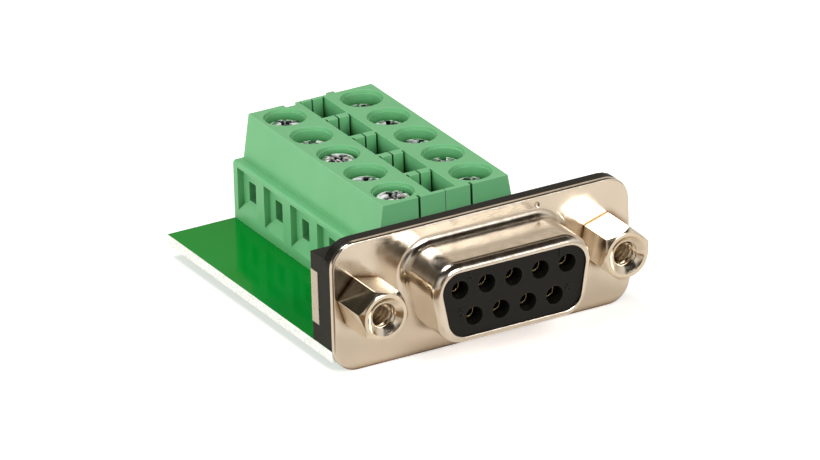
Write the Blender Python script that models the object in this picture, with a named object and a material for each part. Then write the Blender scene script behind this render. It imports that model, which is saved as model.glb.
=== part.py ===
"""D-sub terminal block adapter: a nine-way socket connector lying flat on a small circuit board, with two
rows of screw terminals standing back to back behind it.

Lengths are in metres. X runs along the connector, Y from its mating face to the rear of the board, Z up.
Places along Y are counted from the front of the metal flange, and places along Z from the surface that the
adapter stands on. The empty at the root moves all of it, so that the origin is under the middle."""

import math

import bmesh
import bpy
from mathutils import Vector

MM = 0.001

# Fits
SEAT_GAP = 0.02 * MM  # between faces that touch when assembled
SLIDE_GAP = 0.07 * MM  # round a wire cage in its chamber
SCREW_GAP = 0.06 * MM  # round a clamp screw's shank, in the housing and in the cage

# Circuit board, as wide as the flange
BOARD_THICKNESS = 1.0 * MM
BOARD_STANDOFF = 1.1 * MM  # from the surface below to the underside of the board

# Contacts of the connector
CONTACT_PITCH = 2.77 * MM
ROW_PITCH = 2.84 * MM
UPPER_CONTACTS = 5
LOWER_CONTACTS = 4
SOCKET_RADIUS = 0.8 * MM
SOCKET_WALL = 0.28 * MM
SOCKET_GAP = 0.1 * MM  # round a socket in the plastic
SOCKET_DEPTH = 4.6 * MM
SOCKET_RECESS = 1.3 * MM
SOCKET_SHOULDER_Y = 1.0 * MM
TAIL_RADIUS = 0.3 * MM
TAIL_BEND = 0.8 * MM
TAIL_CLEARANCE = 0.12 * MM
TAIL_FROM_BODY = 0.9 * MM  # of the lower row, behind the plastic body
TAIL_ROW_PITCH = 2.54 * MM
TAIL_OUT = 0.85 * MM  # below the board

# D-shaped shroud round the contacts
SHROUD_SIDE = 2.625 * MM  # from the last contact's axis to the side
SHROUD_RISE = 2.53 * MM  # from a row's axis to the top or the bottom
SHROUD_DEPTH = 5.92 * MM
SHROUD_CORNER = 2.6 * MM
SHROUD_SLOPE = math.radians(10)
SHROUD_WALL = 0.45 * MM
SHROUD_LIP = 1.0 * MM  # length of the rounding in front
LIP_INSET = 0.72 * MM  # of the rounding's front edge
LIP_FACE = 0.05 * MM  # flat edge round the opening
SHROUD_FILLET = 0.8 * MM  # where the shroud is drawn out of the flange
DIMPLE_X = 5.8 * MM
DIMPLE_ABOVE_SHROUD = 1.0 * MM
DIMPLE_RADIUS = 0.3 * MM
DIMPLE_DEPTH = 0.12 * MM

# Flange of the connector
CENTRE_ABOVE_BOARD = 4.63 * MM  # axis of the connector
JACK_FROM_SHROUD = 4.33 * MM  # from the shroud's side to a jackscrew's axis
FLANGE_END = 2.905 * MM  # from a jackscrew's axis to the end of the flange
FLANGE_HEIGHT = 12.5 * MM
FLANGE_CORNER = 2.4 * MM
SHEET = 0.5 * MM  # steel of the front shell
SHEET_EDGE = 0.22 * MM  # rounding of the flange's front edge

# Plastic body of the connector
NOSE_RECESS = 0.2 * MM  # behind the shroud's front edge
NOSE_GAP = 0.03 * MM
BODY_FLANGE = 1.13 * MM
BODY_REAR_SIDE = 0.835 * MM  # wider than the shroud, on each side
BODY_REAR_DEPTH = 0.75 * MM
BODY_REAR_HEIGHT = 8.0 * MM
EAR_WIDTH = 5.6 * MM
EAR_INSET = 0.05 * MM  # of its outer face behind the flange's end
EAR_DEPTH = 2.43 * MM  # behind the plastic flange
EAR_HEIGHT = 8.66 * MM
SPACER_SIDE = 1.96 * MM  # from the last contact's tail to the end of the spacer
SPACER_GAP = 0.1 * MM  # in front of the terminal blocks
SPACER_HEIGHT = 1.2 * MM

# Ground brackets let into the ears
BRACKET_SHEET = 0.5 * MM
BRACKET_LOW = 1.8 * MM  # above the board
BRACKET_HEIGHT = 5.2 * MM
BRACKET_WING = 1.25 * MM  # along the outer side of the ear
BRACKET_LEG = 1.0 * MM

# Jackscrews
JACK_HEX = 4.5 * MM  # across flats
JACK_LENGTH = 4.45 * MM  # in front of the flange
JACK_CHAMFER = 0.47 * MM  # length of the chamfer at the hexagon's corners
JACK_FACE_STEP = 0.05 * MM  # of the round front face inside the flats
JACK_RIM = 0.4 * MM  # of the front face round its mouth
JACK_MOUTH_DEPTH = 0.45 * MM
JACK_BORE_RADIUS = 1.3 * MM
JACK_BORE_DEPTH = 3.9 * MM
JACK_STUD_RADIUS = 1.4 * MM
JACK_STUD_OUT = 0.63 * MM  # behind the bracket
JACK_TURN = {"left": math.radians(-12.5), "right": math.radians(16.5)}
JACK_HOLE_CLEARANCE = 0.12 * MM
THREAD_GAP = 0.03 * MM

# Terminal blocks
POLES = 5
POLE_PITCH = 5.08 * MM
BLOCK_FROM_TAIL = 0.66 * MM  # behind the tails of the upper row
BLOCK_HEIGHT = 10.0 * MM
JOINT_GAP = 0.04 * MM  # of each block from the middle
RIB_END_GAP = 0.1 * MM  # of each rib's end from the middle
LEDGE_HEIGHT = 5.8 * MM
LEDGE_DEPTH = 1.13 * MM
LEDGE_EDGE = 0.28 * MM
TOP_LEAN = 0.67 * MM
TOP_WALL = 0.4 * MM  # from a well's rim to the outer edge of the top
END_SLIT_X = 2.7 * MM
END_SLIT_WIDTH = 0.28 * MM
END_SLIT_DEPTH = 0.55 * MM
TONGUE_WIDTH = 0.78 * MM  # at the rear of the right block
TONGUE_REACH = 0.5 * MM
TONGUE_BELOW_TOP = 0.05 * MM
GROOVE_WIDTH = 1.25 * MM  # at the rear of the left block
GROOVE_DEPTH = 0.55 * MM
PIT_HALF_WIDTH = 1.3 * MM
PIT_WALL = 0.7 * MM  # from a pit to the rim of a well
PIT_DEPTH = 3.0 * MM
RIB_FRONT = 0.4 * MM  # of a rib's front face before the line between two poles
RIB_REAR = 0.42 * MM
RIB_SLIT = 0.22 * MM
RIB_SLIT_DEPTH = 0.5 * MM
LAST_SLIT_DEPTH = 0.25 * MM  # in the wall at the rear end

# Inside of a pole
WELLS_APART = 0.98 * MM  # between the rims of two wells
WELL_RIM = 0.2 * MM
WELL_STEP = 0.28 * MM  # from the top down to the ledge inside the rim
HEAD_GAP = 0.27 * MM  # round a screw's head in its well
HEAD_THICKNESS = 0.95 * MM
HEAD_SINK = 0.9 * MM  # below the block's top, of a head that is down on its seat
HEAD_EDGE = 0.15 * MM
SLOT_WIDTH = 0.62 * MM
CROSS_WIDTH = 0.5 * MM
CROSS_FROM_RIM = 0.43 * MM  # from each end of the cross to the edge of the head
SLOT_DEPTH = 0.5 * MM
WEB = 0.9 * MM  # plastic under a screw's head
MOUTHS_APART = 1.48 * MM
MOUTH_LOW = 1.0 * MM
MOUTH_ROOF = 0.5 * MM  # from the top of a mouth to the ledge
MOUTH_DEPTH = 0.68 * MM
MOUTH_RAMP = 0.53 * MM  # rise of the mouth's floor along its sides
ENTRY_WIDTH = 1.6 * MM
CHAMBERS_APART = 1.78 * MM
CAGE_LENGTH = 4.0 * MM
CAGE_LOW = 1.78 * MM
CAGE_FLOOR = 0.42 * MM
CAGE_WALL = 0.36 * MM
CAGE_NUT = 1.4 * MM
CAGE_THREAD_WALL = 0.32 * MM
CLAMP_GAP = 0.05 * MM  # left under the bar when a cage is right up
LIFT_GAP = 0.16 * MM  # left above a cage that is right up
BAR_THICKNESS = 0.5 * MM
BAR_SIDE = 0.12 * MM  # between the bar and the walls of the cage
BAR_SHORT = 0.15 * MM  # of the bar's end inside the cage's end
BAR_SHOW = 0.45 * MM  # of the bar's end below the top of the entry
PIN_THICKNESS = 0.8 * MM
PIN_WIDTH = 1.0 * MM
PIN_POINT = 0.25 * MM
PIN_HOLE_CLEARANCE = 0.08 * MM
PIN_SLOT_GAP = 0.05 * MM
SCREW_TIP_GAP = 0.12 * MM  # of a screw's tip above the bar
SCREW_LIFTS = {  # of each screw above its seat, from the front
    "left": (0.55 * MM, 0.15 * MM, 0.55 * MM, 0.05 * MM, 0.3 * MM),
    "right": (0.0, 0.1 * MM, 0.1 * MM, 0.15 * MM, 0.0),
}

# Facets of round pieces
FINE = 24
MEDIUM = 16
COARSE = 10
CORNER_STEPS = 6
EDGE_STEPS = 3
BEND_STEPS = 4

# Connector, worked out from the sizes above
BOARD_TOP = BOARD_STANDOFF + BOARD_THICKNESS
CENTRE_Z = BOARD_TOP + CENTRE_ABOVE_BOARD
CONTACTS_HALF = (UPPER_CONTACTS - 1) * CONTACT_PITCH / 2
SHROUD_HALF_WIDTH = CONTACTS_HALF + SHROUD_SIDE
SHROUD_HALF_HEIGHT = ROW_PITCH / 2 + SHROUD_RISE
JACK_X = SHROUD_HALF_WIDTH + JACK_FROM_SHROUD
FLANGE_HALF = JACK_X + FLANGE_END
BODY_FRONT = SHEET + SEAT_GAP
BODY_REAR = BODY_FRONT + BODY_FLANGE
EAR_REAR = BODY_REAR + EAR_DEPTH
BRACKET_FRONT = EAR_REAR - BRACKET_SHEET
BRACKET_BOTTOM = BOARD_TOP + BRACKET_LOW
BRACKET_TOP = BRACKET_BOTTOM + BRACKET_HEIGHT
WING_FRONT = EAR_REAR - BRACKET_WING
LOWER_TAIL_Y = BODY_REAR + BODY_REAR_DEPTH + TAIL_FROM_BODY
UPPER_TAIL_Y = LOWER_TAIL_Y + TAIL_ROW_PITCH
JACK_CORNER = JACK_HEX / math.sqrt(3)
JACK_FACE_RADIUS = JACK_HEX / 2 - JACK_FACE_STEP
JACK_MOUTH_RADIUS = JACK_FACE_RADIUS - JACK_RIM

# Terminal blocks, worked out from the sizes above
BLOCK_FRONT = UPPER_TAIL_Y + BLOCK_FROM_TAIL
BLOCK_REAR = BLOCK_FRONT + POLES * POLE_PITCH
BLOCK_BASE = BOARD_TOP + SEAT_GAP
BLOCK_TOP = BOARD_TOP + BLOCK_HEIGHT
LEDGE_Z = BOARD_TOP + LEDGE_HEIGHT
WELL_RIM_RADIUS = (POLE_PITCH - WELLS_APART) / 2
WELL_RADIUS = WELL_RIM_RADIUS - WELL_RIM
HEAD_RADIUS = WELL_RADIUS - HEAD_GAP
SCREW_FROM_JOINT = PIT_HALF_WIDTH + PIT_WALL + WELL_RIM_RADIUS
TOP_OUTER = SCREW_FROM_JOINT + WELL_RIM_RADIUS + TOP_WALL
LEDGE_INNER = TOP_OUTER + TOP_LEAN
BLOCK_DEPTH = LEDGE_INNER + LEDGE_DEPTH  # from the joint between the blocks to the wire face
MOUTH_WIDTH = POLE_PITCH - MOUTHS_APART
CAGE_WIDTH = POLE_PITCH - CHAMBERS_APART - 2 * SLIDE_GAP
SHANK_RADIUS = CAGE_WIDTH / 2 - CAGE_THREAD_WALL - SCREW_GAP
HEAD_TOP = BLOCK_TOP - HEAD_SINK
HEAD_SEAT = HEAD_TOP - HEAD_THICKNESS
CHAMBER_TOP = HEAD_SEAT - SEAT_GAP - WEB
CHAMBER_END = SCREW_FROM_JOINT - CAGE_LENGTH / 2 - SLIDE_GAP  # nearest to the joint
CAGE_BOTTOM = BOARD_TOP + CAGE_LOW
CAGE_METAL = CAGE_FLOOR + BAR_THICKNESS + CAGE_NUT + 2 * CLAMP_GAP
CAGE_TRAVEL = (CHAMBER_TOP - CAGE_BOTTOM - CAGE_METAL - LIFT_GAP) / 2
CAGE_WINDOW_LOW = CAGE_BOTTOM + CAGE_FLOOR
BAR_BOTTOM = CAGE_WINDOW_LOW + CAGE_TRAVEL + CLAMP_GAP
BAR_TOP = BAR_BOTTOM + BAR_THICKNESS
BAR_WIDTH = CAGE_WIDTH - 2 * CAGE_WALL - 2 * BAR_SIDE
BAR_REACH = SCREW_FROM_JOINT + CAGE_LENGTH / 2 - BAR_SHORT
PIN_FROM_JOINT = CHAMBER_END - PIN_SLOT_GAP - PIN_THICKNESS
CAGE_WINDOW_HIGH = BAR_TOP + CLAMP_GAP
CAGE_TOP = CAGE_WINDOW_HIGH + CAGE_NUT
SCREW_TIP = BAR_TOP + SCREW_TIP_GAP
FRONT_END = -SHROUD_DEPTH
REAR_END = BLOCK_REAR + TONGUE_REACH
SIDES = {"left": -1, "right": 1}

COLOURS = {
    "terminal_green": ((0.17, 0.5, 0.22, 1), 0.45, 0.0),
    "board_green": ((0.01, 0.3, 0.09, 1), 0.25, 0.0),
    "plated_steel": ((0.72, 0.62, 0.5, 1), 0.25, 1.0),
    "bright_nickel": ((0.75, 0.7, 0.62, 1), 0.15, 1.0),
    "zinc": ((0.75, 0.75, 0.75, 1), 0.25, 1.0),
    "black_plastic": ((0.028, 0.03, 0.027, 1), 0.45, 0.0),
    "tinned_brass": ((0.7, 0.66, 0.56, 1), 0.3, 1.0),
    "gold_contact": ((0.8, 0.58, 0.25, 1), 0.25, 1.0),
}


def clear_scene():
    for thing in list(bpy.data.objects):
        bpy.data.objects.remove(thing)


def material(name):
    """The named finish, made once: a Principled shader with its colour, roughness and metallic value."""
    found = bpy.data.materials.get(name)
    if found:
        return found
    colour, roughness, metallic = COLOURS[name]
    made = bpy.data.materials.new(name)
    made.use_nodes = True
    shader = made.node_tree.nodes["Principled BSDF"]
    shader.inputs["Base Color"].default_value = colour
    shader.inputs["Roughness"].default_value = roughness
    shader.inputs["Metallic"].default_value = metallic
    made.diffuse_color = colour
    return made


def loft(body, rings):
    """A closed skin through rings that have the same number of points, capped at both ends."""
    rows = [[body.verts.new(point) for point in ring] for ring in rings]
    count = len(rows[0])
    for low, high in zip(rows, rows[1:]):
        for i in range(count):
            j = (i + 1) % count
            body.faces.new((low[i], low[j], high[j], high[i]))
    body.faces.new(rows[0][::-1])
    body.faces.new(rows[-1])


def box(body, low, high):
    """A block between two corners."""
    corners = [(low[0], low[1]), (high[0], low[1]), (high[0], high[1]), (low[0], high[1])]
    loft(body, [[Vector((x, y, z)) for x, y in corners] for z in (low[2], high[2])])


def prism_along_y(body, outline, front, rear):
    """An outline of (x, z) points carried from front to rear."""
    loft(body, [[Vector((x, y, z)) for x, z in outline] for y in (front, rear)])


def prism_up(body, outline, low, high):
    """An outline of (x, y) points carried from low to high."""
    loft(body, [[Vector((x, y, z)) for x, y in outline] for z in (low, high)])


def turned(body, centre, axis, profile, steps, start=0.0):
    """A turned shape: profile holds (radius, distance along the axis), with axis Y or Z through centre."""
    rings = []
    for radius, along in profile:
        ring = []
        for i in range(steps):
            angle = start + 2 * math.pi * i / steps
            across = (radius * math.cos(angle), radius * math.sin(angle))
            if axis == "Z":
                offset = Vector((across[0], across[1], along))
            else:
                offset = Vector((across[0], along, across[1]))
            ring.append(Vector(centre) + offset)
        rings.append(ring)
    loft(body, rings)


def arc(centre, radius, start, end, steps):
    """Points of a circular arc in a plane, both ends included."""
    angles = [start + (end - start) * i / steps for i in range(steps + 1)]
    return [(centre[0] + radius * math.cos(a), centre[1] + radius * math.sin(a)) for a in angles]


def rounded_outline(corners, radius, steps):
    """Arcs of one radius round each corner's centre, for a convex outline given anticlockwise."""
    points = []
    count = len(corners)
    for i, corner in enumerate(corners):
        before = Vector(corner) - Vector(corners[i - 1])
        after = Vector(corners[(i + 1) % count]) - Vector(corner)
        start = math.atan2(before.y, before.x) - math.pi / 2
        end = math.atan2(after.y, after.x) - math.pi / 2
        if end < start:
            end += 2 * math.pi
        points += arc(corner, radius, start, end, steps)
    return points


def flange_outline(offset):
    """The flange's rounded rectangle, grown by offset."""
    x = FLANGE_HALF - FLANGE_CORNER
    low, high = FLANGE_CORNER, FLANGE_HEIGHT - FLANGE_CORNER
    centres = [(-x, low), (x, low), (x, high), (-x, high)]
    return rounded_outline(centres, FLANGE_CORNER + offset, CORNER_STEPS)


def shroud_outline(offset):
    """The D outline, wide side up, grown by offset."""
    up = SHROUD_HALF_HEIGHT - SHROUD_CORNER
    top = SHROUD_HALF_WIDTH - SHROUD_CORNER
    bottom = top - 2 * up * math.tan(SHROUD_SLOPE)
    low, high = CENTRE_Z - up, CENTRE_Z + up
    centres = [(-bottom, low), (bottom, low), (top, high), (-top, high)]
    return rounded_outline(centres, SHROUD_CORNER + offset, CORNER_STEPS)


def finish(body, name):
    """A mesh object made from a body, with its faces turned outwards."""
    bmesh.ops.recalc_face_normals(body, faces=body.faces)
    mesh = bpy.data.meshes.new(name)
    body.to_mesh(mesh)
    body.free()
    made = bpy.data.objects.new(name, mesh)
    bpy.context.scene.collection.objects.link(made)
    return made


def solid(name, *shapes):
    """An object from shapes, each a function of the body and its arguments."""
    body = bmesh.new()
    for shape, *arguments in shapes:
        shape(body, *arguments)
    return finish(body, name)


def combine(target, tool, operation):
    """Cuts the tool from the target, or joins it, and removes the tool."""
    modifier = target.modifiers.new(operation.lower(), "BOOLEAN")
    modifier.operation = operation
    modifier.object = tool
    tool.hide_render = True
    tool.display_type = "WIRE"
    graph = bpy.context.evaluated_depsgraph_get()
    mesh = bpy.data.meshes.new_from_object(target.evaluated_get(graph))
    mesh.name = target.name
    target.modifiers.clear()
    target.data = mesh
    bpy.data.objects.remove(tool)


def cut(target, *shapes):
    combine(target, solid(target.name + "_cutter", *shapes), "DIFFERENCE")


def join(target, *shapes):
    combine(target, solid(target.name + "_addition", *shapes), "UNION")


def dress(thing, finish_name, parent, smooth=True):
    """Gives an object its finish, its shading and its parent."""
    thing.data.materials.clear()
    thing.data.materials.append(material(finish_name))
    if smooth:
        thing.data.shade_smooth()
        thing.data.set_sharp_from_angle(angle=math.radians(35))
    thing.parent = parent
    return thing


def contact_places():
    """Each contact's (x, z) in the mating face and the Y of its tail, upper row first."""
    places = []
    rows = (
        (UPPER_CONTACTS, CENTRE_Z + ROW_PITCH / 2, UPPER_TAIL_Y),
        (LOWER_CONTACTS, CENTRE_Z - ROW_PITCH / 2, LOWER_TAIL_Y),
    )
    for count, z, tail_y in rows:
        for i in range(count):
            places.append(((i - (count - 1) / 2) * CONTACT_PITCH, z, tail_y))
    return places


def pole_centres():
    return [BLOCK_FRONT + (i + 0.5) * POLE_PITCH for i in range(POLES)]


# Connector


def front_shell(parent):
    """Pressed steel: a flat flange with a D-shaped shroud drawn out of it."""
    plate = []
    for i in range(EDGE_STEPS + 1):
        turn = math.pi / 2 * i / EDGE_STEPS
        inset = SHEET_EDGE * (1 - math.sin(turn))
        plate.append((SHEET_EDGE * (1 - math.cos(turn)), inset))
    plate.append((SHEET, 0.0))
    rings = [[Vector((x, y, z)) for x, z in flange_outline(-inset)] for y, inset in plate]
    shell = solid("connector_front_shell", (loft, rings))
    join(shell, (loft, shroud_rings()))
    cut(shell, (loft, rings_inside_shroud(0.0, -SHROUD_DEPTH - SHEET, 2 * SHEET)))
    hole = JACK_STUD_RADIUS + JACK_HOLE_CLEARANCE
    holes = [
        (turned, (side * JACK_X, 0, CENTRE_Z), "Y", [(hole, -SHEET), (hole, 2 * SHEET)], MEDIUM)
        for side in SIDES.values()
    ]
    cut(shell, *holes)
    dimple = [(DIMPLE_RADIUS, -SHEET), (DIMPLE_RADIUS, 0.0), (DIMPLE_RADIUS / 2, DIMPLE_DEPTH)]
    dimple_z = CENTRE_Z + SHROUD_HALF_HEIGHT + DIMPLE_ABOVE_SHROUD
    cut(shell, (turned, (DIMPLE_X, 0, dimple_z), "Y", dimple, COARSE))
    return dress(shell, "plated_steel", parent)


def shroud_rings():
    """The outside of the shroud from inside the flange's sheet to the rounded front edge."""
    stations = [(SHEET / 2, SHROUD_FILLET)]
    for i in range(1, EDGE_STEPS + 2):
        turn = math.pi / 2 * i / (EDGE_STEPS + 1)
        stations.append((-SHROUD_FILLET * (1 - math.cos(turn)), SHROUD_FILLET * (1 - math.sin(turn))))
    for i in range(EDGE_STEPS + 1):
        turn = math.pi / 2 * i / EDGE_STEPS
        along = -SHROUD_DEPTH + SHROUD_LIP * (1 - math.sin(turn))
        stations.append((along, -LIP_INSET * (1 - math.cos(turn))))
    return [[Vector((x, y, z)) for x, z in shroud_outline(offset)] for y, offset in stations]


def rings_inside_shroud(gap, front, rear):
    """The inside of the shroud less a gap: narrow behind the front edge, and wider behind the rounding."""
    narrow = -(LIP_INSET + LIP_FACE + gap)
    wide = -(SHROUD_WALL + gap)
    stations = (
        (front, narrow),
        (-SHROUD_DEPTH + NOSE_RECESS + LIP_FACE, narrow),
        (-SHROUD_DEPTH + SHROUD_LIP, wide),
        (rear, wide),
    )
    return [[Vector((x, y, z)) for x, z in shroud_outline(offset)] for y, offset in stations]


def connector_body(parent):
    """The moulded body: the nose with the sockets, the flange behind the shell, and two ears on the board."""
    inside = BODY_REAR - BODY_FLANGE / 2
    nose = rings_inside_shroud(NOSE_GAP, -SHROUD_DEPTH + NOSE_RECESS, inside)
    body = solid("connector_body", (loft, nose))
    join(body, (prism_along_y, flange_outline(0.0), BODY_FRONT, BODY_REAR))
    beyond = 2 * FLANGE_HALF
    cut(body, (box, (-beyond, -SHEET, -BLOCK_BASE), (beyond, 2 * EAR_REAR, BLOCK_BASE)))
    half = SHROUD_HALF_WIDTH + BODY_REAR_SIDE
    rear = BODY_REAR + BODY_REAR_DEPTH
    join(body, (box, (-half, inside, BLOCK_BASE), (half, rear, BOARD_TOP + BODY_REAR_HEIGHT)))
    for side in SIDES.values():
        outer = FLANGE_HALF - EAR_INSET
        ends = sorted((side * outer, side * (outer - EAR_WIDTH)))
        top = BOARD_TOP + EAR_HEIGHT
        join(body, (box, (ends[0], inside, BLOCK_BASE), (ends[1], EAR_REAR, top)))
        for room in bracket_recess(side):
            cut(body, room)
    bore = JACK_STUD_RADIUS + JACK_HOLE_CLEARANCE
    jack_bores = [
        (turned, (side * JACK_X, 0, CENTRE_Z), "Y", [(bore, -SHEET), (bore, 2 * EAR_REAR)], MEDIUM)
        for side in SIDES.values()
    ]
    cut(body, *jack_bores)
    cut(body, *[(turned, (x, 0, z), "Y", socket_bore(), MEDIUM) for x, z, _ in contact_places()])
    return dress(body, "black_plastic", parent)


def bracket_recess(side):
    """Room for a bracket in the back and the outer side of an ear, and for its leg below."""
    behind, beside = 2 * EAR_REAR, 2 * FLANGE_HALF
    low, high = BRACKET_BOTTOM - SEAT_GAP, BRACKET_TOP + SEAT_GAP
    back = sorted((side * (JACK_X - EAR_WIDTH), side * beside))
    wing = sorted((side * (FLANGE_HALF - BRACKET_SHEET - SEAT_GAP), side * beside))
    leg = BRACKET_LEG / 2 + SEAT_GAP
    leg_ends = sorted((side * (JACK_X - leg), side * (JACK_X + leg)))
    front = BRACKET_FRONT - SEAT_GAP
    return [
        (box, (back[0], front, low), (back[1], behind, high)),
        (box, (wing[0], WING_FRONT - SEAT_GAP, low), (wing[1], behind, high)),
        (box, (leg_ends[0], front, 0.0), (leg_ends[1], behind, high)),
    ]


def socket_bore():
    """A stepped hole: wide round the socket, narrow round its tail."""
    tail = TAIL_RADIUS + TAIL_CLEARANCE
    step = SOCKET_SHOULDER_Y + SEAT_GAP
    front, rear = -2 * SHROUD_DEPTH, 2 * EAR_REAR
    hole = SOCKET_RADIUS + SOCKET_GAP
    return [(hole, front), (hole, step), (tail, step), (tail, rear)]


def socket_contact(name, x, z, tail_y, parent):
    """One piece: a bored socket in front, and a round tail that turns down through the board."""
    front = -SHROUD_DEPTH + NOSE_RECESS + SOCKET_RECESS
    forward = Vector((0, -1, 0))
    bore = SOCKET_RADIUS - SOCKET_WALL
    stations = [
        (Vector((x, front + SOCKET_DEPTH, z)), forward, bore),
        (Vector((x, front, z)), forward, bore),
        (Vector((x, front, z)), forward, SOCKET_RADIUS),
        (Vector((x, SOCKET_SHOULDER_Y, z)), forward, SOCKET_RADIUS),
        (Vector((x, SOCKET_SHOULDER_Y, z)), forward, TAIL_RADIUS),
    ]
    centre = Vector((x, tail_y - TAIL_BEND, z - TAIL_BEND))
    for i in range(BEND_STEPS + 1):
        turn = math.pi / 2 * i / BEND_STEPS
        place = centre + TAIL_BEND * Vector((0, math.sin(turn), math.cos(turn)))
        stations.append((place, Vector((0, -math.cos(turn), math.sin(turn))), TAIL_RADIUS))
    up = Vector((0, 0, 1))
    stations.append((Vector((x, tail_y, BOARD_STANDOFF - TAIL_OUT)), up, TAIL_RADIUS))
    rings = []
    for place, facing, radius in stations:
        other = facing.cross(Vector((1, 0, 0)))
        ring = []
        for i in range(COARSE):
            angle = 2 * math.pi * i / COARSE
            ring.append(place + radius * (Vector((math.cos(angle), 0, 0)) + math.sin(angle) * other))
        rings.append(ring)
    contact = solid(name, (loft, rings))
    return dress(contact, "gold_contact", parent)


def tail_spacer(parent):
    """A comb on the board that keeps the tails of both rows in place."""
    front = BODY_REAR + BODY_REAR_DEPTH + SEAT_GAP
    rear = BLOCK_FRONT - SPACER_GAP
    half = CONTACTS_HALF + SPACER_SIDE
    spacer = solid("tail_spacer", (box, (-half, front, BLOCK_BASE), (half, rear, BOARD_TOP + SPACER_HEIGHT)))
    radius = TAIL_RADIUS + TAIL_CLEARANCE
    profile = [(radius, 0.0), (radius, 2 * BOARD_TOP)]
    cut(spacer, *[(turned, (x, tail_y, 0), "Z", profile, COARSE) for x, _, tail_y in contact_places()])
    return dress(spacer, "black_plastic", parent)


def ground_bracket(name, side, parent):
    """Bent sheet let into an ear: a back plate tapped for the jackscrew, a wing outside and a leg below."""
    inner = FLANGE_HALF - EAR_INSET - EAR_WIDTH
    bend = FLANGE_HALF - BRACKET_SHEET
    outline = [
        (side * inner, BRACKET_FRONT),
        (side * bend, BRACKET_FRONT),
        (side * bend, WING_FRONT),
        (side * FLANGE_HALF, WING_FRONT),
        (side * FLANGE_HALF, EAR_REAR),
        (side * inner, EAR_REAR),
    ]
    bracket = solid(name, (prism_up, outline, BRACKET_BOTTOM, BRACKET_TOP))
    leg = [(side * JACK_X + dx, y) for dx, y in leg_outline()]
    join(bracket, (prism_up, leg, BOARD_STANDOFF - TAIL_OUT, BRACKET_BOTTOM + BRACKET_SHEET))
    thread = JACK_STUD_RADIUS + THREAD_GAP
    tapped = [(thread, EAR_REAR / 2), (thread, 2 * EAR_REAR)]
    cut(bracket, (turned, (side * JACK_X, 0, CENTRE_Z), "Y", tapped, MEDIUM))
    return dress(bracket, "plated_steel", parent)


def leg_outline():
    half = BRACKET_LEG / 2
    return [(-half, BRACKET_FRONT), (half, BRACKET_FRONT), (half, EAR_REAR), (-half, EAR_REAR)]


def jackscrew(name, side_name, parent):
    """A hexagonal standoff with a chamfered front, a threaded bore in it and a stud behind."""
    tip = -SEAT_GAP - JACK_LENGTH
    place = (SIDES[side_name] * JACK_X, 0, CENTRE_Z)
    hexagon = [(JACK_CORNER, tip - JACK_CHAMFER), (JACK_CORNER, -SEAT_GAP)]
    screw = solid(name, (turned, place, "Y", hexagon, 6, JACK_TURN[side_name]))
    widen = JACK_CORNER - JACK_FACE_RADIUS
    chamfer = [
        (JACK_FACE_RADIUS, tip),
        (JACK_CORNER + widen, tip + 2 * JACK_CHAMFER),
        (JACK_CORNER + widen, JACK_CHAMFER),
    ]
    combine(screw, solid(name + "_chamfer", (turned, place, "Y", chamfer, FINE)), "INTERSECT")
    stud = [(JACK_STUD_RADIUS, tip / 2), (JACK_STUD_RADIUS, EAR_REAR + JACK_STUD_OUT)]
    join(screw, (turned, place, "Y", stud, MEDIUM))
    slope = (JACK_MOUTH_RADIUS - JACK_BORE_RADIUS) / JACK_MOUTH_DEPTH
    ahead = JACK_MOUTH_DEPTH
    bore = [
        (JACK_MOUTH_RADIUS + slope * ahead, tip - ahead),
        (JACK_BORE_RADIUS, tip + JACK_MOUTH_DEPTH),
        (JACK_BORE_RADIUS, tip + JACK_BORE_DEPTH),
    ]
    cut(screw, (turned, place, "Y", bore, FINE))
    return dress(screw, "bright_nickel", parent)


# Circuit board


def circuit_board(parent):
    """Flat laminate that reaches the back of the flange, with a hole for each tail, pin and bracket leg."""
    low = (-FLANGE_HALF, BODY_FRONT, BOARD_STANDOFF)
    board = solid("circuit_board", (box, low, (FLANGE_HALF, BLOCK_REAR, BOARD_TOP)))
    pin_hole = math.hypot(PIN_WIDTH, PIN_THICKNESS) / 2 + PIN_HOLE_CLEARANCE
    tail_hole = TAIL_RADIUS + TAIL_CLEARANCE
    leg_hole = math.hypot(BRACKET_LEG, BRACKET_SHEET) / 2 + PIN_HOLE_CLEARANCE
    leg_y = (BRACKET_FRONT + EAR_REAR) / 2
    pin_x = PIN_FROM_JOINT + PIN_THICKNESS / 2
    drills = [((x, tail_y), tail_hole) for x, _, tail_y in contact_places()]
    for side in SIDES.values():
        drills.append(((side * JACK_X, leg_y), leg_hole))
        drills += [((side * pin_x, y), pin_hole) for y in pole_centres()]
    holes = [
        (turned, (*place, 0), "Z", [(radius, BOARD_STANDOFF / 2), (radius, 2 * BOARD_TOP)], COARSE)
        for place, radius in drills
    ]
    cut(board, *holes)
    return dress(board, "board_green", parent, smooth=False)


# Terminal blocks


def housing_outline(side):
    """Section of a housing across the adapter, from the joint to the wire face."""
    points = [(JOINT_GAP, BLOCK_BASE), (BLOCK_DEPTH, BLOCK_BASE)]
    edge = (BLOCK_DEPTH - LEDGE_EDGE, LEDGE_Z - LEDGE_EDGE)
    points += arc(edge, LEDGE_EDGE, 0.0, math.pi / 2, EDGE_STEPS)
    points += [
        (LEDGE_INNER, LEDGE_Z),
        (TOP_OUTER, BLOCK_TOP),
        (JOINT_GAP, BLOCK_TOP),
    ]
    return [(side * x, z) for x, z in points]


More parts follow.
